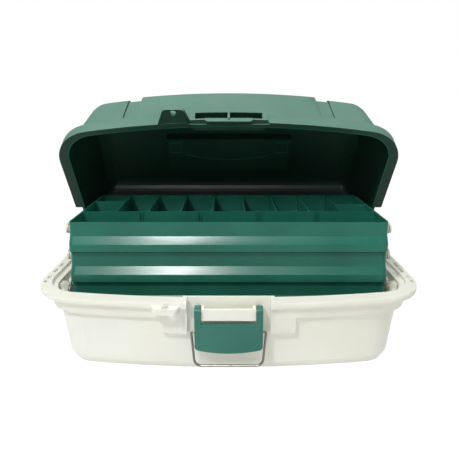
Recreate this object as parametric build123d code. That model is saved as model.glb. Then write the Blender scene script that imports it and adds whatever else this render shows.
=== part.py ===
from build123d import *
from math import atan2, cos, degrees, hypot, radians, sin
import os

# A low tackle box with three stacked trays and a hinged lid, shown half open.
# X runs along the box, +Y to the back, Z up; the origin is on the floor under the middle.

# Overall sizes of the case
case_length = 456.0
front_reach = 127.0
front_bow = 24.0
rear_reach = 111.0
base_height = 85.0
lid_height = 93.0
front_corner = 60.0
rear_corner = 34.0
wall = 2.8

# Base: rim, skirt under it and tapered wall
rim_thickness = 6.5
rim_bead = 3.0
rim_side_width = 12.0
rim_front_width = 16.0
rim_recess = 4.0
rim_step = 2.0
skirt_side_inset = 17.0
skirt_front_inset = 5.0
skirt_height = 20.0
wall_step = 4.0
wall_side_inset = 26.0
wall_side_taper = 11.0
wall_front_taper = 5.0
foot_bevel = 5.0
rim_slot_width = 4.0
short_slot_length = 7.0
short_slot_places = (-68.0, -55.0, 15.0)
long_slot_length = 15.0
long_slot_places = (-36.0, -17.0)
cut_over = 1.0

# Latch, its recess and its pivot box
latch_width = 75.0
latch_recess_width = 92.0
latch_block_width = 28.0
latch_block_drop = 38.0
notch_slope_rise = 5.0
raised_rim = 2.0
raised_rim_width = 102.0
tab_thickness = 4.0
tab_arm = 7.0
tab_top = 78.5
tab_bottom = 26.5
tab_bow = 4.5
tab_corner = 5.0
arm_round = 3.0
cheek_back = 3.0
cheek_below = 5.0
tab_plate_drop = 13.0
pivot_height = 73.0
pivot_ahead = 6.5
latch_pin_radius = 2.0
pocket_below = 9.5
pocket_height = 13.0
bail_wire = 2.6
bail_taper = 3.5
bail_pivot_height = 51.5
bail_drop = 40.5
bail_corner = 8.0
bail_hold = 5.0
bail_side_gap = 1.0

# Padlock lugs
lug_centre = -68.5
lug_root_width = 42.0
lug_tip_width = 25.0
lug_thickness = 5.0
base_lug_thickness = 7.0
lug_reach = 6.5
lug_root = 17.0
lug_bed = 1.0
lug_round = 6.0
padlock_hole = 8.0
padlock_edge = 1.2
lug_lap = 3.0

# Lid
lid_flange = 16.0
flange_front_inset = 12.5
rear_band_height = 9.0
lid_side_inset = 9.5
lid_front_inset = 16.5
lid_side_taper = 20.5
lid_front_taper = 13.5
lid_rear_inset = 4.0
lid_rear_taper = 14.0
lid_edge_round = 16.0
edge_steps = 4
lid_flange_stop = 70.0
lid_opening = 55.0
crown_half = 121.0
crown_rise = 3.0
crown_length_behind = 43.0
groove_width = 20.0
groove_depth = 2.5
lid_recess_width = 85.0
lid_recess_height = 17.0
lid_recess_depth = 12.0
frame_width = 99.0
frame_proud = 2.6
pad_width = 90.0
pad_height = 16.0
pad_proud = 2.0
lip_thickness = 2.8
lip_drop = 2.0
lip_corner = 3.0

# Carrying handle in the lid
handle_length = 164.0
handle_reach = 34.0
handle_bar = 11.0
handle_recess_depth = 17.0
handle_place = 124.0
handle_pin_radius = 2.5
handle_gap = 4.0
handle_sunk = 1.0

# Hinge
hinge_behind = 5.0
knuckle_radius = 4.5
hinge_pin_radius = 1.75
knuckle_length = 16.0
knuckle_gap = 0.4
knuckle_count = 5
hinge_from_end = 108.0

# Trays
tray_side_room = 39.0
tray_front = 70.5
tray_rear = 82.0
tray_height = 35.0
tray_pitch = 37.0
tray_bottom = 51.0
tray_wall = 2.0
tray_floor = 1.8
tray_corner = 6.0
tray_step = 4.5
tray_step_top = 18.0
tray_step_bottom = 9.0
partition_place = -18.0
divider_thickness = 1.6
divider_play = 0.3
divider_drop = 0.8
rib_thickness = 1.4
rib_depth = 1.8
rear_cells = 9
front_cells = 5
middle_cells = 6
lower_cells = 4
left_cross_place = 39.0
right_cross_place = 20.5

# Arms that carry the trays
arm_width = 12.0
arm_thickness = 2.4
arm_gap = 0.8
rivet_radius = 2.5
rivet_head = 6.5
rivet_head_height = 2.4
rivet_head_inside = 1.4
front_pin_place = -55.0
low_tray_pin_height = 30.0
lower_pin_height = 31.0
upper_pin_height = 27.0
base_pin_height = 61.0
base_arm_width = 10.0
pin_drop = 34.0
pin_back = 43.0
base_pin_back = 73.0
rear_arm_offset = 60.0
bracket_thickness = 4.0
bracket_margin = 12.0

# Fits
running_fit = 0.05
slide_fit = 0.3

rim_half = case_length / 2
tray_half = rim_half - tray_side_room
hinge_centre = rim_half - hinge_from_end
hinge_y = rear_reach + hinge_behind
hinge_z = base_height
os.makedirs("parts", exist_ok=True)


def box(low, high):
    size = [h - l for l, h in zip(low, high)]
    middle = [(h + l) / 2 for l, h in zip(low, high)]
    return Pos(*middle) * Box(*size)


def pin(x_low, x_high, y, z, radius):
    middle = (x_low + x_high) / 2
    return Pos(middle, y, z) * Rot(0, 90, 0) * Cylinder(radius, x_high - x_low)


def plan(z, side=0.0, front=0.0, rear=0.0, corner=None):
    """The case's outline at height z, set in by these amounts."""
    half = rim_half - side
    bow = front_bow * (half / rim_half) ** 2
    front_y = -(front_reach - front)
    rear_y = rear_reach - rear
    corner = front_corner - (side + front) * 0.5 if corner is None else corner
    back_corner = max(rear_corner - (side + rear) * 0.5, 3.0)
    curve = ThreePointArc((-half, front_y + bow), (0, front_y), (half, front_y + bow))
    sides = Polyline((half, front_y + bow), (half, rear_y), (-half, rear_y), (-half, front_y + bow))
    face = make_face([curve, *sides.edges()])
    points = face.vertices().sort_by(Axis.Y)
    face = fillet(points[:2], corner)
    points = face.vertices().sort_by(Axis.Y)
    face = fillet(points[-2:], back_corner)
    return Pos(0, 0, z) * face


def between(low, high):
    return loft([low, high], ruled=True)


def prism(face, height):
    return extrude(face, amount=height, dir=(0, 0, 1))


def both_sides(shape):
    return [shape, mirror(shape, about=Plane.YZ)]


def opened(shape):
    """A lid piece, drawn closed, turned to its half-open rest."""
    hinge = Axis((0, hinge_y, hinge_z), (-1, 0, 0))
    return shape.rotate(hinge, lid_opening)


def save(name, shape):
    solids = shape.solids()
    result = solids[0] if len(solids) == 1 else Compound(children=list(solids))
    export_step(result, f"parts/{name}.step")


# Base tub
skirt_bottom = base_height - skirt_height
wall_front_inset = skirt_front_inset + wall_step


def wall_plan(z, inward=0.0):
    drop = (skirt_bottom - z) / skirt_bottom
    side = wall_side_inset + wall_side_taper * drop + inward
    front = wall_front_inset + wall_front_taper * drop + inward
    return plan(z, side, front, wall_front_inset + wall_front_taper * drop + inward)


def foot_plan():
    side = wall_side_inset + wall_side_taper + foot_bevel
    front = wall_front_inset + wall_front_taper + foot_bevel * 0.6
    return plan(0, side, front, front)


latch_face = -(front_reach - rim_front_width + wall)
recess_half = latch_recess_width / 2
block_outer = recess_half + latch_block_width
block_bottom = base_height - latch_block_drop
bevel_top = foot_bevel * 1.6


def make_base_outside():
    rim = prism(plan(base_height - rim_thickness), rim_thickness)
    bead = prism(plan(base_height - rim_thickness - rim_bead, skirt_side_inset * 0.5, skirt_front_inset * 0.5,
                      skirt_front_inset * 0.5), rim_bead)
    skirt = prism(plan(skirt_bottom, skirt_side_inset, skirt_front_inset, skirt_front_inset),
                  skirt_height - rim_thickness)
    body = between(wall_plan(bevel_top), wall_plan(skirt_bottom))
    foot = between(foot_plan(), wall_plan(bevel_top))
    shape = rim + bead + skirt + body + foot
    for side in (-1, 1):
        low = min(side * recess_half, side * block_outer)
        high = max(side * recess_half, side * block_outer)
        drop = box((low, -front_reach, block_bottom), (high, -front_reach / 2, skirt_bottom))
        inside = prism(plan(block_bottom, skirt_side_inset, skirt_front_inset, skirt_front_inset),
                       skirt_bottom - block_bottom)
        shape += drop & inside
    raised = box((-raised_rim_width / 2, -front_reach, base_height),
                 (raised_rim_width / 2, rim_front_width - front_reach, base_height + raised_rim))
    shape += raised & prism(plan(base_height, 0, 0, 0), raised_rim)
    return shape


def make_base_inside():
    recess = prism(plan(base_height - rim_recess, rim_side_width, rim_front_width, rim_front_width * 0.4),
                   rim_recess + raised_rim)
    throat_side = skirt_side_inset + wall
    throat = prism(plan(skirt_bottom + wall, throat_side, rim_front_width + rim_step, skirt_front_inset + wall),
                   skirt_height - wall)
    cavity = between(wall_plan(wall, wall), wall_plan(skirt_bottom + wall, wall))
    return recess + throat + cavity


def notch_form(behind, top):
    """The recess for the latch up to this height, with its sloping lower back moved behind."""
    front_y = -front_reach - cut_over
    drop = (skirt_bottom - block_bottom) / skirt_bottom
    foot_y = wall_front_inset + wall_front_taper * drop - front_reach
    points = [(front_y, block_bottom), (foot_y + behind, block_bottom),
              (latch_face + behind, skirt_bottom + notch_slope_rise), (latch_face + behind, top), (front_y, top)]
    side = make_face(Polyline(*points, close=True).edges())
    start = Plane(origin=(-recess_half, 0, 0), x_dir=(0, 1, 0), z_dir=(1, 0, 0))
    return extrude(start * side, amount=latch_recess_width)


def make_base():
    shape = make_base_outside() - make_base_inside()
    notch = notch_form(0.0, base_height + raised_rim + cut_over)
    panel = notch_form(wall + rim_step / 2, skirt_bottom + 3 * wall)
    shape = (shape - notch) + (panel - notch)
    slots = [(place, short_slot_length) for place in short_slot_places]
    slots += [(place, long_slot_length) for place in long_slot_places]
    x = rim_half - rim_side_width / 2
    for y, length in slots:
        slot = box((x - rim_slot_width / 2, y, base_height - rim_thickness - cut_over),
                   (x + rim_slot_width / 2, y + length, base_height + cut_over))
        for cut in both_sides(slot):
            shape -= cut
    return shape


pocket_front = -(front_reach - 3.0)
arm_inner = latch_width / 2 - tab_arm
pocket_half = arm_inner - 2 * slide_fit
pivot_y = latch_face - pivot_ahead


def add_pocket(shape):
    """The open-topped box that the latch tab turns on."""
    low = pivot_height - pocket_below
    high = low + pocket_height
    outer = box((-pocket_half, pocket_front, low), (pocket_half, latch_face, high))
    hollow = box((-pocket_half + wall, pocket_front + wall, low + wall),
                 (pocket_half - wall, latch_face, high + cut_over))
    shape += outer - hollow
    return shape - pin(-pocket_half, pocket_half, pivot_y, pivot_height, latch_pin_radius)


def make_lug(z_low, thickness, depth):
    """A flat ear with a padlock hole that stands out at the front on a flared root."""
    tip_y = -(front_reach + lug_reach)
    root_y = -(front_reach - depth)
    root = lug_root_width / 2
    tip = lug_tip_width / 2
    face = make_face(Polyline((-root, root_y), (-tip, tip_y), (tip, tip_y), (root, root_y), close=True).edges())
    face = fillet(face.vertices().sort_by(Axis.Y)[:2], lug_round)
    face -= Pos(0, tip_y + padlock_edge + padlock_hole / 2) * Circle(padlock_hole / 2)
    return extrude(Pos(lug_centre, 0, z_low) * face, amount=thickness, dir=(0, 0, 1))


def knuckles(offset):
    """Every second knuckle of both hinges, from this one on."""
    found = []
    first = hinge_centre - knuckle_count * knuckle_length / 2
    for index in range(offset, knuckle_count, 2):
        low = first + index * knuckle_length + knuckle_gap / 2
        high = low + knuckle_length - knuckle_gap
        barrel = pin(low, high, hinge_y, hinge_z, knuckle_radius)
        found.append((barrel, low, high))
    return found


hinge_bore = pin(-rim_half, rim_half, hinge_y, hinge_z, hinge_pin_radius + running_fit)
web = 3.0


def add_base_knuckles(shape):
    for barrel, low, high in knuckles(1):
        leaf = box((low, rear_reach - web, hinge_z - knuckle_radius), (high, hinge_y, hinge_z - knuckle_radius + web))
        for piece in both_sides(barrel + leaf):
            shape += piece
    relief_first = hinge_centre - knuckle_count * knuckle_length / 2
    for index in range(0, knuckle_count, 2):
        low = relief_first + index * knuckle_length - knuckle_gap / 2
        high = low + knuckle_length + knuckle_gap
        for cut in both_sides(pin(low, high, hinge_y, hinge_z, knuckle_radius + 2 * slide_fit)):
            shape -= cut
    return shape - hinge_bore


arm_plane = tray_half + arm_gap
head_plane = arm_plane + arm_thickness + arm_gap / 2
bracket_plane = head_plane + rivet_head_height + 1.0


def make_bracket():
    """The rib plate at the left end that carries the base pins."""
    low_y = front_pin_place + base_pin_back - bracket_margin
    high_y = front_pin_place + base_pin_back + rear_arm_offset + bracket_margin
    low_z = base_pin_height - bracket_margin
    plate = box((-bracket_plane - bracket_thickness, low_y, low_z),
                (-bracket_plane, high_y, base_height - rim_recess))
    ribs = None
    for step in range(4):
        y = low_y + step * (high_y - low_y - wall) / 3
        rib = box((-rim_half, y, low_z), (-bracket_plane, y + wall, base_height - rim_recess))
        ribs = rib if ribs is None else ribs + rib
    limit = prism(plan(low_z, skirt_side_inset + wall, rim_front_width, skirt_front_inset + wall),
                  base_height - low_z)
    lower_limit = between(wall_plan(wall, wall), wall_plan(skirt_bottom + wall, wall))
    return ((plate + ribs) & (limit & lower_limit)) + ((plate + ribs) & limit & box(
        (-rim_half, -rim_half, skirt_bottom + wall), (rim_half, rim_half, base_height)))


base = make_base()
base = add_pocket(base)
base = add_base_knuckles(base)
save("base_tub", base)
base_lug_low = base_height - rim_thickness + lug_lap - base_lug_thickness
save("base_lug", make_lug(base_lug_low, base_lug_thickness, rim_front_width - lug_bed) - base)
bracket = make_bracket()
save("arm_bracket_left", bracket)
save("arm_bracket_right", mirror(bracket, about=Plane.YZ))


# Hinge pins
pin_low = hinge_centre - knuckle_count * knuckle_length / 2
hinge_rod = pin(pin_low, pin_low + knuckle_count * knuckle_length, hinge_y, hinge_z, hinge_pin_radius)
left_rod, right_rod = mirror(hinge_rod, about=Plane.YZ), hinge_rod
save("hinge_pin_left", left_rod)
save("hinge_pin_right", right_rod)


# Lid, drawn closed with its parting plane at the rim
lid_bottom = base_height + slide_fit


def lid_plan(rise, grow=0.0, inward=0.0):
    share = rise / lid_height
    side = lid_side_inset + lid_side_taper * share + inward - grow
    front = lid_front_inset + lid_front_taper * share + inward - grow
    rear = lid_rear_inset + lid_rear_taper * share + inward
    return plan(lid_bottom + rise, side, front, rear)


def lid_form(grow=0.0, inward=0.0):
    """The lid's body with round top edges, grown outward or set inward, as stacked slices."""
    round_edge = lid_edge_round + grow - inward
    straight = lid_height + grow - inward - round_edge
    slices = [lid_plan(0, grow, inward)]
    for step in range(edge_steps + 1):
        turn = radians(90 * step / edge_steps)
        rise = straight + round_edge * sin(turn)
        slices.append(lid_plan(rise, grow, inward + round_edge * (1 - cos(turn))))
    return loft(slices, ruled=True)


reach = case_length
lid_top = lid_bottom + lid_height
recess_top = lid_bottom + lid_recess_height
lid_front = -(front_reach - flange_front_inset)
recess_back = lid_front + lid_recess_depth
lip_front = lid_front - lip_thickness
lip_half = arm_inner - 2 * slide_fit
recess_low = base_height + raised_rim + 2 * slide_fit
recess_floor = recess_low + wall


def make_lid():
    top = lid_top + 2 * crown_rise
    groove_end = crown_half + groove_width
    crown_back = hinge_y - crown_length_behind
    crown = box((-crown_half, -reach, lid_bottom - cut_over), (crown_half, crown_back, top))
    sides = lid_form()
    shape = sides + (lid_form(crown_rise) & crown)
    groove_limit = lid_form(-groove_depth)
    for side in (-1, 1):
        low = min(side * crown_half, side * groove_end)
        strip = box((low, -reach, lid_bottom + 2 * lid_flange), (low + groove_width, crown_back, top))
        shape = (shape - strip) + (groove_limit & strip)
    flange = prism(plan(lid_bottom, 0.0, flange_front_inset), lid_flange)
    flange -= box((-reach, hinge_y - lid_flange_stop, lid_bottom - cut_over),
                  (reach, reach, lid_bottom + lid_flange + cut_over))
    rear_band = prism(plan(lid_bottom, lid_side_inset, lid_front_inset, 0.0), rear_band_height) & box(
        (-rim_half + rear_corner, 0, lid_bottom), (rim_half - rear_corner, reach, lid_bottom + rear_band_height))
    shape += flange + rear_band
    frame_form = prism(plan(recess_low, 0.0, flange_front_inset - frame_proud), recess_top + wall - recess_low)
    shape += frame_form & box((-frame_width / 2, -reach, recess_low), (frame_width / 2, recess_back, recess_top + wall))
    pad_form = lid_form(crown_rise + pad_proud)
    pad_low = recess_top + wall / 2
    shape += pad_form & box((-pad_width / 2, -reach, pad_low), (pad_width / 2, recess_back, pad_low + pad_height))
    return shape


pocket_rear_u = handle_place - handle_reach - handle_bar - handle_gap
pocket_front_u = handle_place + handle_bar
pocket_y = (hinge_y - pocket_front_u, hinge_y - pocket_rear_u)
handle_top = lid_top + crown_rise
pocket_floor = handle_top - handle_recess_depth
pocket_half_x = handle_length / 2 + handle_bar / 2 + handle_gap


def make_lip():
    """The lip that the bail hooks over, held by a rib through the middle of the recess."""
    low = lid_bottom - lip_drop
    lip = box((-lip_half, lip_front, low), (lip_half, lid_front, recess_floor))
    lip = chamfer(lip.edges().filter_by(Axis.Y).sort_by(Axis.Z)[:2], lip_corner)
    rib = box((-wall / 2, lip_front - wall / 2, recess_low), (wall / 2, recess_back + wall / 2, recess_top + wall / 2))
    return lip + rib


def finish_lid(shape):
    handle_pocket = box((-pocket_half_x, pocket_y[0], pocket_floor), (pocket_half_x, pocket_y[1], handle_top + 1))
    pocket_walls = box((-pocket_half_x - wall, pocket_y[0] - wall, pocket_floor - wall),
                       (pocket_half_x + wall, pocket_y[1] + wall, handle_top))
    half = lid_recess_width / 2
    front_y = -(front_reach + cut_over)
    latch_pocket = box((-half, front_y, recess_floor), (half, recess_back, recess_top))
    latch_walls = box((-half - wall, front_y, recess_low), (half + wall, recess_back + wall, recess_top + wall))
    hollow = lid_form(0.0, wall) - pocket_walls - latch_walls
    shape -= hollow
    shape -= handle_pocket
    shape -= latch_pocket
    lug = make_lug(lid_bottom + slide_fit, lug_thickness, lug_root)
    shape += lug - hollow
    raised_half = raised_rim_width / 2 + slide_fit
    raised_top = base_height + raised_rim + slide_fit
    raised_back = -(front_reach - rim_front_width) + slide_fit
    shape -= box((-raised_half, front_y, lid_bottom - cut_over), (raised_half, raised_back, raised_top))
    shape += make_lip()
    for bore in both_sides(pin(handle_length / 2 - handle_bar, pocket_half_x + wall, hinge_y - handle_place,
                               handle_top - handle_bar / 2 - handle_sunk, handle_pin_radius)):
        shape -= bore
    return shape


def add_lid_knuckles(shape):
    first = hinge_centre - knuckle_count * knuckle_length / 2
    for index in range(1, knuckle_count, 2):
        low = first + index * knuckle_length - knuckle_gap / 2
        high = low + knuckle_length + knuckle_gap
        for cut in both_sides(pin(low, high, hinge_y, hinge_z, knuckle_radius + 2 * slide_fit)):
            shape -= cut
    for barrel, low, high in knuckles(0):
        leaf = box((low, rear_reach - web, lid_bottom), (high, hinge_y, lid_bottom + web))
        for piece in both_sides(barrel + leaf):
            shape += piece
    return shape - hinge_bore


lid = add_lid_knuckles(finish_lid(make_lid()))
save("lid_shell", opened(lid))

# Carrying handle, folded towards the hinge in the lid's recess
handle_y = hinge_y - handle_place
handle_z = handle_top - handle_bar / 2 - handle_sunk


def make_handle():
    half = handle_length / 2
    far = handle_y + handle_reach
    grip = box((-half - handle_bar / 2, far - handle_bar / 2, handle_z - handle_bar / 2),
               (half + handle_bar / 2, far + handle_bar / 2, handle_z + handle_bar / 2))
    leg = box((half - handle_bar / 2, handle_y - handle_bar / 2, handle_z - handle_bar / 2),
              (half + handle_bar / 2, far, handle_z + handle_bar / 2))
    shape = grip
    for piece in both_sides(leg):
        shape += piece
    outer = shape.edges().filter_by(Axis.Z).sort_by(Axis.Y)[-2:]
    shape = fillet(outer, handle_bar * 0.9)
    shape = fillet(shape.edges().filter_by(Axis.X), handle_bar * 0.2)
    for bore in both_sides(pin(half - handle_bar, half + handle_bar, handle_y, handle_z,
                               handle_pin_radius + running_fit)):
        shape -= bore
    return shape


save("carry_handle", opened(make_handle()))
handle_pin = pin(handle_length / 2 - handle_bar / 2 - 1, pocket_half_x + wall, handle_y, handle_z, handle_pin_radius)
save("handle_pin_left", opened(mirror(handle_pin, about=Plane.YZ)))
save("handle_pin_right", opened(handle_pin))

# Latch tab hanging in front of the base
tab_front = -front_reach


def make_tab():
    """A plate with a bowed lower edge, between two arms that reach back to the studs."""
    half = latch_width / 2
    plate_top = pivot_height - tab_plate_drop
    side_bottom = tab_bottom + tab_bow
    bow = ThreePointArc((-half, side_bottom), (0, tab_bottom), (half, side_bottom))
    sides = Polyline((half, side_bottom), (half, plate_top), (-half, plate_top), (-half, side_bottom))
    face = make_face([bow, *sides.edges()])
    face = fillet(face.vertices().sort_by(Axis.Y)[:2], tab_corner)
    front = Plane(origin=(0, tab_front + tab_thickness, 0), x_dir=(1, 0, 0), z_dir=(0, -1, 0))
    shape = extrude(front * face, amount=tab_thickness)
    arm = box((arm_inner, tab_front, plate_top - 1), (half, tab_front + tab_thickness, tab_top))
    cheek = box((arm_inner, tab_front, pivot_height - cheek_below), (half, pivot_y + cheek_back, tab_top))
    arm += cheek
    arm = fillet(arm.edges().filter_by(Axis.X).group_by(Axis.Z)[-1].sort_by(Axis.Y)[:1], arm_round)
    for piece in both_sides(arm):
        shape += piece
    shape -= pin(-half - cut_over, half + cut_over, pivot_y, pivot_height, latch_pin_radius + running_fit)
    bail_y = tab_front + tab_thickness / 2
    for bore in both_sides(pin(half - bail_hold - cut_over, half + cut_over, bail_y, bail_pivot_height,
                               bail_wire / 2 + running_fit)):
        shape -= bore
    return shape


save("latch_tab", make_tab())
latch_stud = pin(pocket_half - wall, latch_width / 2, pivot_y, pivot_height, latch_pin_radius)
export_step(Compound(children=both_sides(latch_stud)), "parts/latch_pins.step")


def make_bail():
    half = latch_width / 2 + bail_side_gap + bail_wire
    y = tab_front + tab_thickness / 2
    top = bail_pivot_height
    low = top - bail_drop
    inner = latch_width / 2 - bail_hold
    foot = half - bail_taper
    path = FilletPolyline((-inner, y, top), (-half, y, top), (-foot, y, low), (foot, y, low), (half, y, top),
                          (inner, y, top), radius=[bail_wire, bail_corner, bail_corner, bail_wire])
    start = Plane(origin=(-inner, y, top), z_dir=(-1, 0, 0))
    return sweep(start * Circle(bail_wire / 2), path=path)


save("latch_bail", make_bail())


# Trays
def tray_outline(z, step):
    front = -(tray_front + step)
    face = make_face(Polyline((-tray_half, front), (tray_half, front), (tray_half, tray_rear),
                              (-tray_half, tray_rear), close=True).edges())
    return Pos(0, 0, z) * fillet(face.vertices(), tray_corner)


def make_tray(bottom, cells):
    """An open tray whose front steps out near the bottom, with its partition and slot ribs."""
    low_front = between(tray_outline(bottom, tray_step), tray_outline(bottom + tray_step_bottom, tray_step))
    slope = between(tray_outline(bottom + tray_step_bottom, tray_step), tray_outline(bottom + tray_step_top, 0))
    upper = between(tray_outline(bottom + tray_step_top, 0), tray_outline(bottom + tray_height, 0))
    shape = low_front + slope + upper
    top = bottom + tray_height
    floor = bottom + tray_floor
    inner = tray_half - tray_wall
    hollow = box((-inner, -tray_front + tray_wall, floor), (inner, tray_rear - tray_wall, top + 1))
    shape -= hollow
    shape += box((-inner, partition_place - tray_wall, floor), (inner, partition_place, top))
    pitch = 2 * inner / cells
    play = divider_thickness / 2 + divider_play
    for index in range(1, cells):
        x = -inner + index * pitch
        for side in (-1, 1):
            rib_x = x + side * (play + rib_thickness / 2)
            near = box((rib_x - rib_thickness / 2, partition_place, floor),
                       (rib_x + rib_thickness / 2, partition_place + rib_depth, top))
            far = box((rib_x - rib_thickness / 2, tray_rear - tray_wall - rib_depth, floor),
                      (rib_x + rib_thickness / 2, tray_rear - tray_wall, top))
            shape += near + far
    front_pitch = 2 * inner / front_cells
    for index in range(1, front_cells):
        x = -inner + index * front_pitch
        for side in (-1, 1):
            rib_x = x + side * (play + rib_thickness / 2)
            near = box((rib_x - rib_thickness / 2, partition_place - tray_wall - rib_depth, floor),
                       (rib_x + rib_thickness / 2, partition_place - tray_wall, top))
            far = box((rib_x - rib_thickness / 2, -tray_front + tray_wall, floor),
                      (rib_x + rib_thickness / 2, -tray_front + tray_wall + rib_depth, top))
            shape += near + far
    return shape


def make_dividers(bottom, cells):
    inner = tray_half - tray_wall
    pitch = 2 * inner / cells
    plates = []
    for index in range(1, cells):
        x = -inner + index * pitch
        plates.append(box((x - divider_thickness / 2, partition_place + divider_play, bottom + tray_floor),
                          (x + divider_thickness / 2, tray_rear - tray_wall - divider_play,
                           bottom + tray_height - divider_drop)))
    return plates


def add_cross_walls(shape, bottom):
    """The two short walls that split the end cells of the top tray."""
    inner = tray_half - tray_wall
    cell = 2 * inner / rear_cells - divider_thickness / 2 - divider_play
    high = bottom + tray_height
    shape += box((-inner, left_cross_place, bottom + tray_floor),
                 (-inner + cell, left_cross_place + tray_wall, high))
    shape += box((inner - cell, right_cross_place, bottom + tray_floor),
                 (inner, right_cross_place + tray_wall, high))
    return shape


tray_names = ("lower", "middle", "upper")
tray_cells = (lower_cells, middle_cells, rear_cells)
for level, (name, cells) in enumerate(zip(tray_names, tray_cells)):
    bottom = tray_bottom + level * tray_pitch
    tray = make_tray(bottom, cells)
    if name == "upper":
        tray = add_cross_walls(tray, bottom)
    save(f"tray_{name}", tray)
    plates = make_dividers(bottom, cells)
    export_step(Compound(children=plates), f"parts/tray_{name}_dividers.step")


# Arms: each runs from a pin on what is below to a pin on the tray that it carries
def arm_pins(level):
    """The low and high pin of the front arm at this level, as (y, z) pairs."""
    if level == 0:
        low = (front_pin_place + base_pin_back, base_pin_height)
        high = (front_pin_place, tray_bottom + low_tray_pin_height)
        return low, high
    below = tray_bottom + (level - 1) * tray_pitch
    low = (front_pin_place + pin_back, below + (lower_pin_height if level == 1 else upper_pin_height))
    return low, (front_pin_place, low[1] + pin_drop)


def make_arm(level, shift):
    """One strip on the left side with a round end and a hole at each pin."""
    low, high = arm_pins(level)
    length = hypot(high[0] - low[0], high[1] - low[1])
    lean = degrees(atan2(high[1] - low[1], high[0] - low[0]))
    strip = SlotCenterToCenter(length, base_arm_width if level == 0 else arm_width)
    holes = Circle(rivet_radius + running_fit)
    face = strip - Pos(-length / 2, 0) * holes - Pos(length / 2, 0) * holes
    flat = extrude(face, amount=arm_thickness)
    middle_y = (low[0] + high[0]) / 2 + shift
    middle_z = (low[1] + high[1]) / 2
    frame = Plane(origin=(-arm_plane, middle_y, middle_z), x_dir=(0, cos(radians(lean)), sin(radians(lean))),
                  z_dir=(-1, 0, 0))
    return frame * flat


def rivet(y, z, foot, head_side):
    """A rivet through an arm on the left side; the head is outside or towards the middle."""
    shank_end = head_plane
    if head_side == "out":
        shank = pin(-shank_end, -foot, y, z, rivet_radius)
        head = pin(-shank_end - rivet_head_height, -shank_end, y, z, rivet_head)
    else:
        shank = pin(-foot, -(tray_half + arm_gap * 0.9), y, z, rivet_radius)
        head = pin(-shank_end - rivet_head_inside, -shank_end, y, z, rivet_head)
    return shank + head


for level, name in enumerate(tray_names):
    for end, shift in (("front", 0.0), ("rear", rear_arm_offset)):
        arm = make_arm(level, shift)
        for side_name, piece in zip(("left", "right"), both_sides(arm)):
            save(f"arm_{end}_{name}_{side_name}", piece)


def tray_rivets(level):
    spots = [(arm_pins(level)[1][0] + shift, arm_pins(level)[1][1]) for shift in (0.0, rear_arm_offset)]
    if level < 2:
        spots += [(arm_pins(level + 1)[0][0] + shift, arm_pins(level + 1)[0][1]) for shift in (0.0, rear_arm_offset)]
    pieces = []
    for y, z in spots:
        pieces += both_sides(rivet(y, z, tray_half, "out"))
    return pieces


for level, name in enumerate(tray_names):
    export_step(Compound(children=tray_rivets(level)), f"parts/tray_{name}_rivets.step")

base_rivets = []
for shift in (0.0, rear_arm_offset):
    y, z = arm_pins(0)[0]
    base_rivets += both_sides(rivet(y + shift, z, bracket_plane, "in"))
export_step(Compound(children=base_rivets), "parts/base_rivets.step")
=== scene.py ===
# The looks of a half-open tackle box with three stacked trays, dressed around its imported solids.
import math

import bmesh
import bpy
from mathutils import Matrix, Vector


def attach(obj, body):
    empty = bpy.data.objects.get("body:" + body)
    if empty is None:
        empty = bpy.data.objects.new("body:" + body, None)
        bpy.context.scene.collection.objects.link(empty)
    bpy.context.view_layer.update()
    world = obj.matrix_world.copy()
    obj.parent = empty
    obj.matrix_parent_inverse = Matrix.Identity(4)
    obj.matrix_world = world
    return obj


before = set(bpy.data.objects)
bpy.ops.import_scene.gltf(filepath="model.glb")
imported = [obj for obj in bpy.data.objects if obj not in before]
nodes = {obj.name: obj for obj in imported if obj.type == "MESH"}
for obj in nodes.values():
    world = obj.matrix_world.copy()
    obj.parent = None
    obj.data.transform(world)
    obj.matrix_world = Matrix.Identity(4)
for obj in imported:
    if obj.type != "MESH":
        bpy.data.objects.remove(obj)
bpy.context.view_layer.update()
scene = bpy.context.scene
print("frame loaded:", len(nodes), "nodes")


# Shader helpers


class Value:
    # wraps one number socket, so that shader maths reads as plain expressions
    def __init__(self, shader, socket):
        self.shader = shader
        self.socket = socket

    def maths(self, operation, *values):
        made = self.shader.node("ShaderNodeMath", {"operation": operation}, dict(enumerate(values)))
        return Value(self.shader, made.outputs[0])

    def __add__(self, other):
        return self.maths("ADD", self, other)

    def __radd__(self, other):
        return self.maths("ADD", other, self)

    def __sub__(self, other):
        return self.maths("SUBTRACT", self, other)

    def __rsub__(self, other):
        return self.maths("SUBTRACT", other, self)

    def __mul__(self, other):
        return self.maths("MULTIPLY", self, other)

    def __rmul__(self, other):
        return self.maths("MULTIPLY", other, self)

    def size(self):
        return self.maths("ABSOLUTE", self)

    def between(self, low, high):
        # 0 below low, 1 above high, and smooth in between
        made = self.shader.node("ShaderNodeMapRange", {"interpolation_type": "SMOOTHSTEP"},
                                {"Value": self, "From Min": low, "From Max": high})
        return Value(self.shader, made.outputs["Result"])


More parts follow.
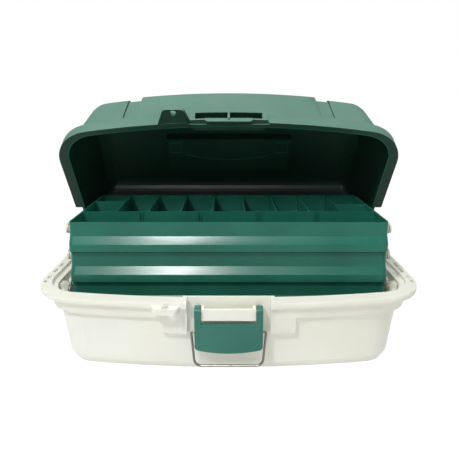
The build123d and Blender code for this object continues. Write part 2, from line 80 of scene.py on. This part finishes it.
class Shader:
    # builds one material's nodes
    def __init__(self, name):
        self.material = bpy.data.materials.new(name)
        self.material.use_nodes = True
        self.tree = self.material.node_tree
        self.tree.nodes.clear()

    def feed(self, socket, value):
        value = value.socket if isinstance(value, Value) else value
        if isinstance(value, bpy.types.NodeSocket):
            self.tree.links.new(value, socket)
        else:
            socket.default_value = value

    def node(self, kind, settings=None, inputs=None):
        made = self.tree.nodes.new(kind)
        for name, value in (settings or {}).items():
            setattr(made, name, value)
        for name, value in (inputs or {}).items():
            self.feed(made.inputs[name], value)
        return made

    def place(self):
        return self.node("ShaderNodeTexCoord").outputs["Object"]

    def stretched(self, vector, scale):
        return self.node("ShaderNodeMapping", {}, {"Vector": vector, "Scale": scale}).outputs["Vector"]

    def noise(self, vector, scale, detail=2.0, roughness=0.5):
        made = self.node("ShaderNodeTexNoise", {}, {"Vector": vector, "Scale": scale, "Detail": detail,
                                                    "Roughness": roughness})
        return Value(self, made.outputs["Fac"])

    def mixed(self, mask, first, second):
        made = self.node("ShaderNodeMix", {"data_type": "RGBA"}, {0: mask, 6: first, 7: second})
        return made.outputs[2]

    def dot(self, first, second):
        made = self.node("ShaderNodeVectorMath", {"operation": "DOT_PRODUCT"}, {0: first, 1: second})
        return Value(self, made.outputs["Value"])

    def axes(self, vector):
        made = self.node("ShaderNodeSeparateXYZ", {}, {0: vector})
        return [Value(self, made.outputs[index]) for index in range(3)]

    def finish(self, colour, roughness, heights, constants):
        # heights are pairs of a pattern and its depth, laid over each other as bumps
        surface = self.node("ShaderNodeBsdfPrincipled", {}, constants)
        self.feed(surface.inputs["Base Color"], colour)
        self.feed(surface.inputs["Roughness"], roughness)
        normal = None
        for height, distance in heights:
            inputs = {"Height": height, "Distance": distance, "Strength": 1.0}
            if normal is not None:
                inputs["Normal"] = normal
            normal = self.node("ShaderNodeBump", {}, inputs).outputs["Normal"]
        if normal is not None:
            self.feed(surface.inputs["Normal"], normal)
        output = self.node("ShaderNodeOutputMaterial")
        self.tree.links.new(surface.outputs[0], output.inputs["Surface"])
        return self.material


# Where the lid stands


lidOpening = math.radians(55)
hinge = Vector((0.0, 0.116, 0.085))


def opened(y, z):
    # a point of the closed lid, in metres, turned to the half-open rest
    y, z = y - hinge.y, z - hinge.z
    turnedY = hinge.y + y * math.cos(lidOpening) + z * math.sin(lidOpening)
    turnedZ = hinge.z - y * math.sin(lidOpening) + z * math.cos(lidOpening)
    return turnedY, turnedZ


# the closed lid's upward and backward directions, as they point at rest
lidUp = Vector((0.0, math.sin(lidOpening), math.cos(lidOpening)))
lidBack = Vector((0.0, math.cos(lidOpening), -math.sin(lidOpening)))


# Finishes


def rgb(red, green, blue):
    # a colour as read on a screen, from 0 to 255, as linear light
    def linear(value):
        value /= 255
        return value / 12.92 if value <= 0.04045 else ((value + 0.055) / 1.055) ** 2.4

    return (linear(red), linear(green), linear(blue), 1.0)


plasticTexture = {
    "ior": 1.49, "blotchDetail": 3.0, "blotchRange": (0.3, 0.7), "grainDetail": 2.0, "flowDetail": 3.0,
    "scuffDetail": 5.0, "scuffGrit": 0.7,
}


def plasticPatterns(shader, place, look):
    # slow colour blotches, fine grain, waves from the mould and scuffs from use
    texture = plasticTexture
    blotch = shader.noise(place, look["blotchScale"], texture["blotchDetail"])
    grain = shader.noise(place, look["grainScale"], texture["grainDetail"])
    flow = shader.noise(shader.stretched(place, look["flow"]), look["flowScale"], texture["flowDetail"])
    scuffPlace = shader.stretched(place, look["scuff"])
    scuff = shader.noise(scuffPlace, look["scuffScale"], texture["scuffDetail"], texture["scuffGrit"])
    return blotch.between(*texture["blotchRange"]), grain, flow, scuff.between(*look["scuffRange"])


def finishPlastic(shader, look, tone, roughness, flow, grain):
    heights = [(flow, look["flowDepth"]), (grain, look["grainDepth"])]
    constants = {"IOR": plasticTexture["ior"], "Specular IOR Level": look["specular"]}
    return shader.finish(tone, roughness, heights, constants)


def mouldedPlastic(name, look):
    shader = Shader(name)
    blotch, grain, flow, scuff = plasticPatterns(shader, shader.place(), look)
    tone = shader.mixed(blotch, look["colour"], look["shade"])
    tone = shader.mixed(scuff * look["scuffShare"], tone, look["scuffColour"])
    roughness = look["roughness"] + (flow - 0.5) * look["roughnessDrift"] + scuff * look["scuffRoughness"]
    return finishPlastic(shader, look, tone, roughness, flow, grain)


trayLook = {
    "colour": rgb(37, 109, 92), "shade": rgb(31, 101, 85), "blotchScale": 14.0, "specular": 0.25,
    "roughness": 0.25, "roughnessDrift": 0.06, "grainScale": 1400.0, "grainDepth": 0.00001,
    "flow": (1.0, 1.0, 4.0), "flowScale": 40.0, "flowDepth": 0.00006,
    "scuff": (1.0, 1.0, 12.0), "scuffScale": 60.0, "scuffRange": (0.62, 0.78), "scuffShare": 0.25,
    "scuffColour": rgb(86, 140, 124), "scuffRoughness": 0.15,
}
trayPlastic = mouldedPlastic("trayPlastic", trayLook)

latchLook = dict(trayLook, colour=rgb(56, 118, 104), shade=rgb(48, 106, 94), roughness=0.42,
                 scuffColour=rgb(120, 165, 150), flowScale=80.0)
latchPlastic = mouldedPlastic("latchPlastic", latchLook)

tubLook = {
    "colour": rgb(240, 241, 231), "shade": rgb(236, 236, 222), "blotchScale": 9.0, "specular": 0.5,
    "roughness": 0.34, "roughnessDrift": 0.1, "grainScale": 1300.0, "grainDepth": 0.000008,
    "flow": (1.0, 1.0, 3.0), "flowScale": 30.0, "flowDepth": 0.00006,
    "scuff": (1.0, 1.0, 9.0), "scuffScale": 45.0, "scuffRange": (0.66, 0.82), "scuffShare": 0.35,
    "scuffColour": rgb(206, 198, 178), "scuffRoughness": 0.12,
}
tubPlastic = mouldedPlastic("tubPlastic", tubLook)

armLook = dict(tubLook, colour=rgb(216, 216, 206), shade=rgb(206, 206, 194), roughness=0.42, flowScale=90.0)
armPlastic = mouldedPlastic("armPlastic", armLook)

# the lid's outside colours are a painted sheen, paler than its green plastic, and its inside colours a painted
# shade, darker than it
lidLook = {
    "outside": rgb(101, 137, 123), "outsideShade": rgb(93, 129, 115),
    "inside": rgb(32, 64, 52), "insideShade": rgb(27, 56, 45), "insideGloss": 0.08,
    "blotchScale": 8.0, "roughness": 0.55, "roughnessDrift": 0.12, "specular": 0.15,
    "grainScale": 1100.0, "grainDepth": 0.00002,
    "flow": (1.0, 1.0, 1.0), "flowScale": 26.0, "flowDepth": 0.00008,
    "scuff": (1.0, 6.0, 6.0), "scuffScale": 50.0, "scuffRange": (0.64, 0.82), "scuffShare": 0.3,
    "scuffColour": rgb(150, 178, 165),
    "middle": (-0.008, 0.070), "wallFade": 0.004, "paintedShadeUnderside": 0.6, "paintedShadeUndersideFade": 0.2,
}

# the handle's recess in the lid, measured from the hinge with the lid closed
handleWell = {
    "halfWidth": 0.10, "ahead": 0.124, "halfDepth": 0.036, "top": 0.091, "fade": 0.001, "topFade": 0.0005,
    "facing": 0.5, "facingFade": 0.1,
}


def paintedShadeWellWalls(shader, place, normal, well):
    # the walls of the handle's recess, which are seen from inside the lid and so take its painted shade
    x = shader.axes(place)[0]
    level = shader.dot(place, lidUp) - hinge.dot(lidUp)
    depth = shader.dot(place, lidBack) - hinge.dot(lidBack) + well["ahead"]
    inWell = (well["halfWidth"] - x.size()).between(0.0, well["fade"])
    inWell = inWell * (well["halfDepth"] - depth.size()).between(0.0, well["fade"])
    inWell = inWell * (well["top"] - level).between(0.0, well["topFade"])
    return inWell * (well["facing"] - shader.dot(normal, lidUp)).between(0.0, well["facingFade"])


def lidPlastic(name, look):
    # the moulded shell wears a painted sheen outside, a pale colour standing in for the light it catches, and a
    # painted shade inside, a deep colour standing in for the shade within it
    shader = Shader(name)
    place = shader.place()
    centre = Vector((0.0, *opened(*look["middle"])))
    offset = shader.node("ShaderNodeVectorMath", {"operation": "SUBTRACT"}, {0: place, 1: centre}).outputs[0]
    normal = shader.node("ShaderNodeTexCoord").outputs["Normal"]
    # faces turned away from the lid's middle get the painted sheen, the rest get the painted shade
    outside = shader.dot(offset, normal).between(-look["wallFade"], look["wallFade"])
    # the recess walls get the painted shade of the inside too
    outside = outside * (1.0 - paintedShadeWellWalls(shader, place, normal, handleWell))
    # the underside of the flange also takes the painted shade of the inside, a deep colour standing in for the
    # shade under it
    outside = outside * (look["paintedShadeUnderside"] + shader.dot(normal, lidUp)).between(0.0, look["paintedShadeUndersideFade"])
    blotch, grain, flow, scuff = plasticPatterns(shader, place, look)
    # outer holds the painted sheen of the outside and inner the painted shade of the inside
    outer = shader.mixed(blotch, look["outside"], look["outsideShade"])
    inner = shader.mixed(blotch, look["inside"], look["insideShade"])
    tone = shader.mixed(outside, inner, outer)
    tone = shader.mixed(scuff * outside * look["scuffShare"], tone, look["scuffColour"])
    gloss = look["insideGloss"]
    roughness = look["roughness"] - gloss + outside * gloss + (flow - 0.5) * look["roughnessDrift"]
    return finishPlastic(shader, look, tone, roughness, flow, grain)


lidShellPlastic = lidPlastic("lidShellPlastic", lidLook)

handleLook = dict(trayLook, colour=rgb(84, 122, 108), shade=rgb(74, 112, 98), roughness=0.5, flowScale=90.0)
handlePlastic = mouldedPlastic("handlePlastic", handleLook)


def drawnSteel(name, look):
    shader = Shader(name)
    place = shader.place()
    streakPlace = shader.stretched(place, look["streak"])
    streak = shader.noise(streakPlace, look["streakScale"], look["detail"], look["grit"])
    stain = shader.noise(place, look["stainScale"], look["detail"], look["grit"]).between(*look["stainRange"])
    tone = shader.mixed(stain * look["stainShare"], look["colour"], look["stain"])
    roughness = look["roughness"] + streak * look["roughnessDrift"] + stain * look["stainRoughness"]
    return shader.finish(tone, roughness, [(streak, look["streakDepth"])], {"Metallic": 1.0})


wireLook = {
    "colour": rgb(122, 118, 110), "stain": rgb(88, 78, 64), "stainShare": 0.5, "stainScale": 220.0,
    "stainRange": (0.5, 0.75), "stainRoughness": 0.2, "roughness": 0.26, "roughnessDrift": 0.16,
    "detail": 4.0, "grit": 0.6, "streak": (1.0, 1.0, 0.2), "streakScale": 1500.0, "streakDepth": 0.00001,
}
wireSteel = drawnSteel("wireSteel", wireLook)
rivetSteel = drawnSteel("rivetSteel", dict(wireLook, colour=rgb(200, 198, 192), streak=(1.0, 1.0, 1.0)))
print("finishes made")


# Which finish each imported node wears


def finishFor(name):
    if name.startswith(("base_tub", "base_lug", "arm_bracket")):
        return tubPlastic
    if name.startswith("arm_") or name.startswith("tray_") and name.endswith("rivets"):
        return armPlastic
    if name.endswith(("pins", "rivets")) or "_pin_" in name:
        return rivetSteel
    if name.startswith("tray_"):
        return trayPlastic
    return {"lid_shell": lidShellPlastic, "carry_handle": handlePlastic, "latch_tab": latchPlastic,
            "latch_bail": wireSteel}[name]


edgeWidths = {
    "base_tub": 0.0008, "base_lug": 0.0004, "lid_shell": 0.0007, "carry_handle": 0.0005, "latch_tab": 0.0009,
    "tray": 0.0004, "arm": 0.0004,
}
edgeRounding = {"weld": 0.00001, "segments": 2, "angle": 18}


def softenEdges(piece, width):
    weld = piece.modifiers.new("weld", "WELD")
    weld.merge_threshold = edgeRounding["weld"]
    bevel = piece.modifiers.new("softEdge", "BEVEL")
    bevel.width = width
    bevel.segments = edgeRounding["segments"]
    bevel.limit_method = "ANGLE"
    bevel.angle_limit = math.radians(edgeRounding["angle"])
    bevel.harden_normals = True
    bevel.use_clamp_overlap = True


def edgeWidth(name):
    # pins, rivets, dividers and the wire bail keep the edges that they have
    if name.endswith(("pins", "rivets", "dividers", "bail")) or "_pin_" in name:
        return None
    return next(width for start, width in edgeWidths.items() if name.startswith(start))


for name, node in nodes.items():
    node.data.materials.clear()
    node.data.materials.append(finishFor(name))
    if edgeWidth(name):
        softenEdges(node, edgeWidth(name))
print("finishes given")


# Small moulded details


def ridingPiece(name, mesh, finish, body):
    # a piece of the scene's own that moves with one body of the frame
    piece = bpy.data.objects.new(name, mesh)
    scene.collection.objects.link(piece)
    mesh.materials.append(finish)
    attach(piece, body)
    return piece


beadRoundness = 3


def lidBead(name, points, radius):
    # a thin round bead of the lid that follows these points
    curve = bpy.data.curves.new(name + "Path", "CURVE")
    curve.dimensions = "3D"
    curve.bevel_depth = radius
    curve.bevel_resolution = beadRoundness
    curve.use_fill_caps = True
    line = curve.splines.new("POLY")
    line.points.add(len(points) - 1)
    for point, place in zip(line.points, points):
        point.co = (*place, 1.0)
    path = bpy.data.objects.new(name + "Path", curve)
    mesh = bpy.data.meshes.new_from_object(path)
    bpy.data.objects.remove(path)
    for face in mesh.polygons:
        face.use_smooth = True
    return ridingPiece(name, mesh, trayPlastic, "lid")


def lidPoint(x, y, z):
    # a point given on the closed lid, at its half-open rest
    return (x, *opened(y, z))


lipBead = {
    "half": 0.2152, "front": -0.1072, "bow": 0.0214, "corner": 0.0440, "level": 0.0864, "end": 0.045,
    "radius": 0.0008, "steps": 24,
}


def addLipBead(look):
    # the inner edge of the lid's opening: a bowed front, two round corners and the sides
    half, front, bow, corner, steps = (look[key] for key in ("half", "front", "bow", "corner", "steps"))
    radius = (half * half + bow * bow) / (2 * bow)
    cornerX = half - corner
    cornerY = front + radius - math.sqrt((radius - corner) ** 2 - cornerX ** 2)
    lean = math.atan2(cornerX, front + radius - cornerY)
    right = [(half, look["end"])]
    for step in range(steps + 1):
        turn = (math.pi / 2 - lean) * step / steps
        right.append((cornerX + corner * math.cos(turn), cornerY - corner * math.sin(turn)))
    for step in range(1, steps):
        turn = lean * (1 - step / steps)
        right.append((radius * math.sin(turn), front + radius * (1 - math.cos(turn))))
    outline = right + [(0.0, front)] + [(-x, y) for x, y in reversed(right)]
    lidBead("lidLipBead", [lidPoint(x, y, look["level"]) for x, y in outline], look["radius"])


addLipBead(lipBead)

wellRelief = {
    "level": 0.1610, "arcHalf": 0.066, "arcEnds": 0.008, "arcMiddle": 0.019, "radius": 0.0005, "steps": 20,
    "blockNear": 0.072, "blockFar": 0.090, "blockFront": -0.016, "blockBack": 0.004,
}
bothSides = (("left", -1), ("right", 1))


def addWellRelief(look):
    # faint lines on the inside of the lid, under the handle's recess: one arc and two end blocks
    sag = look["arcEnds"] - look["arcMiddle"]
    arc = []
    for step in range(look["steps"] + 1):
        share = 2 * step / look["steps"] - 1
        arc.append(lidPoint(look["arcHalf"] * share, look["arcMiddle"] + sag * share ** 2, look["level"]))
    lidBead("wellArc", arc, look["radius"])
    near, far, front, back = (look[key] for key in ("blockNear", "blockFar", "blockFront", "blockBack"))
    corners = [(near, front), (far, front), (far, back), (near, back), (near, front)]
    for sideName, side in bothSides:
        ring = [lidPoint(side * x, y, look["level"]) for x, y in corners]
        lidBead("wellBlock_" + sideName, ring, look["radius"])


addWellRelief(wellRelief)

endRibs = {
    "ribs": (
        {"place": -0.050, "outer": 0.2074, "inner": 0.1975, "top": 0.0790},
        {"place": -0.060, "outer": 0.2060, "inner": 0.1965, "top": 0.0805},
        {"place": -0.070, "outer": 0.2015, "inner": 0.1950, "top": 0.0775},
    ),
    "bottom": 0.0660, "thickness": 0.0018, "slope": 0.0035, "round": 0.0004,
}


def ribSlab(shape, side, rib, look):
    # one upright rib with a bevelled inner top corner
    outer, inner, top, bottom, slope = rib["outer"], rib["inner"], rib["top"], look["bottom"], look["slope"]
    profile = [(outer, bottom), (outer, top), (inner + slope, top), (inner, top - slope), (inner, bottom)]
    front, back = ([shape.verts.new((side * x, rib["place"] + shift, z)) for x, z in profile]
                   for shift in (-look["thickness"] / 2, look["thickness"] / 2))
    shape.faces.new(front)
    shape.faces.new(list(reversed(back)))
    for index in range(len(profile)):
        after = (index + 1) % len(profile)
        shape.faces.new([front[index], back[index], back[after], front[after]])


def addEndRibs(look):
    # stiffening ribs inside the rim's ends, in front of the arms
    for sideName, side in bothSides:
        mesh = bpy.data.meshes.new("endRibs_" + sideName)
        shape = bmesh.new()
        for rib in look["ribs"]:
            ribSlab(shape, side, rib, look)
        bmesh.ops.recalc_face_normals(shape, faces=shape.faces)
        shape.to_mesh(mesh)
        shape.free()
        softenEdges(ridingPiece("endRibs_" + sideName, mesh, tubPlastic, "base"), look["round"])


addEndRibs(endRibs)
print("small details made")


# Floor, light and camera


floorLook = {"size": 12, "level": -0.0004, "tone": (0.9, 0.9, 0.9, 1.0), "brightness": 1.08, "share": 0.9}
white = (1.0, 1.0, 1.0, 1.0)


def makeFloor(look):
    # lit like any floor, but mostly plain white to the eye, so that a faint shadow stays
    bpy.ops.mesh.primitive_plane_add(size=look["size"], location=(0, 0, look["level"]))
    floor = bpy.context.object
    floor.name = "floor"
    shader = Shader("paleFloor")
    path = shader.node("ShaderNodeLightPath").outputs
    seen = Value(shader, path["Is Camera Ray"]) + Value(shader, path["Is Glossy Ray"])
    seen = seen + Value(shader, path["Is Transmission Ray"])
    matt = shader.node("ShaderNodeBsdfDiffuse", {}, {"Color": look["tone"]})
    bright = shader.node("ShaderNodeEmission", {}, {"Color": white, "Strength": look["brightness"]})
    share = seen.between(0.0, 1.0) * look["share"]
    mixed = shader.node("ShaderNodeMixShader", {}, {0: share, 1: matt.outputs[0], 2: bright.outputs[0]})
    output = shader.node("ShaderNodeOutputMaterial")
    shader.tree.links.new(mixed.outputs[0], output.inputs["Surface"])
    floor.data.materials.append(shader.material)


worldStrength = 0.38


def makeWorld(strength):
    # an even soft light, with a white background behind the object
    world = bpy.data.worlds.new("studio")
    scene.world = world
    world.use_nodes = True
    tree = world.node_tree
    tree.nodes.clear()
    path = tree.nodes.new("ShaderNodeLightPath")
    soft = tree.nodes.new("ShaderNodeBackground")
    soft.inputs["Strength"].default_value = strength
    soft.inputs["Color"].default_value = white
    seen = tree.nodes.new("ShaderNodeBackground")
    seen.inputs["Color"].default_value = white
    mixed = tree.nodes.new("ShaderNodeMixShader")
    output = tree.nodes.new("ShaderNodeOutputWorld")
    tree.links.new(path.outputs["Is Camera Ray"], mixed.inputs[0])
    tree.links.new(soft.outputs[0], mixed.inputs[1])
    tree.links.new(seen.outputs[0], mixed.inputs[2])
    tree.links.new(mixed.outputs[0], output.inputs["Surface"])


lamps = {
    "key": {"place": (-0.87, -1.24, 1.80), "width": 0.24, "depth": 0.24, "power": 24.0, "glossOnly": False},
    "bandGlint": {"place": (-0.225, -1.22, 0.93), "width": 0.12, "depth": 0.3, "power": 25.0, "glossOnly": True},
    "bandSheen": {"place": (-0.20, -1.24, 0.95), "width": 1.4, "depth": 0.3, "power": 4.0, "glossOnly": True},
    "overhead": {"place": (0.10, -0.30, 1.50), "width": 0.7, "depth": 0.7, "power": 9.0, "glossOnly": False},
}
lampTarget = Vector((0.0, -0.12, 0.08))


def makeLamp(name, look):
    data = bpy.data.lights.new(name, "AREA")
    data.shape = "RECTANGLE"
    data.size = look["width"]
    data.size_y = look["depth"]
    data.energy = look["power"]
    lamp = bpy.data.objects.new(name, data)
    lamp.location = look["place"]
    lamp.rotation_euler = (lampTarget - lamp.location).to_track_quat("-Z", "Y").to_euler()
    lamp.visible_diffuse = not look["glossOnly"]
    scene.collection.objects.link(lamp)


cameraLook = {
    "place": (0.0, -0.5935, 0.305), "pitch": 9.5, "sensor": 36.0, "lens": 36.157,
    "shiftX": 0.0007, "shiftY": -0.120,
}


def makeCamera(look):
    data = bpy.data.cameras.new("camera")
    data.sensor_width = look["sensor"]
    data.lens = look["lens"]
    data.shift_x = look["shiftX"]
    data.shift_y = look["shiftY"]
    camera = bpy.data.objects.new("camera", data)
    camera.location = look["place"]
    camera.rotation_euler = (math.radians(90 - look["pitch"]), 0.0, 0.0)
    scene.collection.objects.link(camera)
    scene.camera = camera


makeFloor(floorLook)
makeWorld(worldStrength)
for lampName, lampLook in lamps.items():
    makeLamp(lampName, lampLook)
makeCamera(cameraLook)
scene.view_settings.view_transform = "Standard"
print("stage set")
